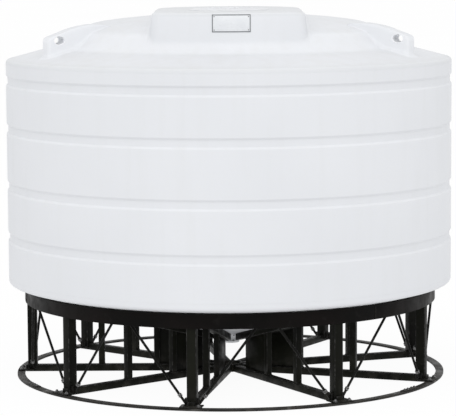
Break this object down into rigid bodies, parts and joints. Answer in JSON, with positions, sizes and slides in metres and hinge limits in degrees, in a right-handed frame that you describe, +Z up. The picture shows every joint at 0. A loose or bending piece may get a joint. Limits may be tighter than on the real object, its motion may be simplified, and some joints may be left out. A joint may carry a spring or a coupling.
{
  "type": "vertical storage tank on a stand",
  "caption": "Squat round plastic storage tank with a ribbed wall, low domed roof and shallow cone bottom, on an open round steel stand.",
  "frame": {"origin": "on the floor, on the tank's vertical axis", "axes": "+Z up along the tank's axis; the front with the boss and its plate faces -Y"},
  "size_m": [3.58, 3.58, 2.9633],
  "materials": {
    "tank_wall": "satin white moulded polyethylene",
    "tank_roof": "satin white moulded polyethylene",
    "tank_bottom": "satin white moulded polyethylene",
    "lid": "satin white plastic",
    "plate": "light grey plate, bare",
    "fitting": "off-white plastic",
    "stand_frame": "black paint on welded steel",
    "stand_brace": "black paint on steel rod",
    "stand_band": "black paint on rolled steel",
    "stand_ring": "black paint, worn grey on top"
  },
  "bodies": {
    "root": {"roof": "tank_roof", "manway_lid": "lid", "blank_plate": "plate", "cone_bottom": "tank_bottom", "outlet_fitting": "fitting", "top_band": "stand_band", "base_ring": "stand_ring", "hub": "stand_frame", "wall_segment_1": "tank_wall", "wall_segment_2": "tank_wall", "wall_segment_3": "tank_wall", "wall_segment_4": "tank_wall", "wall_segment_5": "tank_wall", "wall_segment_6": "tank_wall", "wall_segment_7": "tank_wall", "wall_segment_8": "tank_wall", "wall_segment_9": "tank_wall", "wall_segment_10": "tank_wall", "radial_frame_1": "stand_frame", "radial_frame_2": "stand_frame", "radial_frame_3": "stand_frame", "radial_frame_4": "stand_frame", "radial_frame_5": "stand_frame", "radial_frame_6": "stand_frame", "radial_frame_7": "stand_frame", "radial_frame_8": "stand_frame", "radial_frame_9": "stand_frame", "bay_brace_1": "stand_brace", "bay_brace_2": "stand_brace", "bay_brace_3": "stand_brace", "bay_brace_4": "stand_brace", "bay_brace_5": "stand_brace", "bay_brace_6": "stand_brace", "bay_brace_7": "stand_brace", "bay_brace_8": "stand_brace", "bay_brace_9": "stand_brace"}
  },
  "joints": []
}
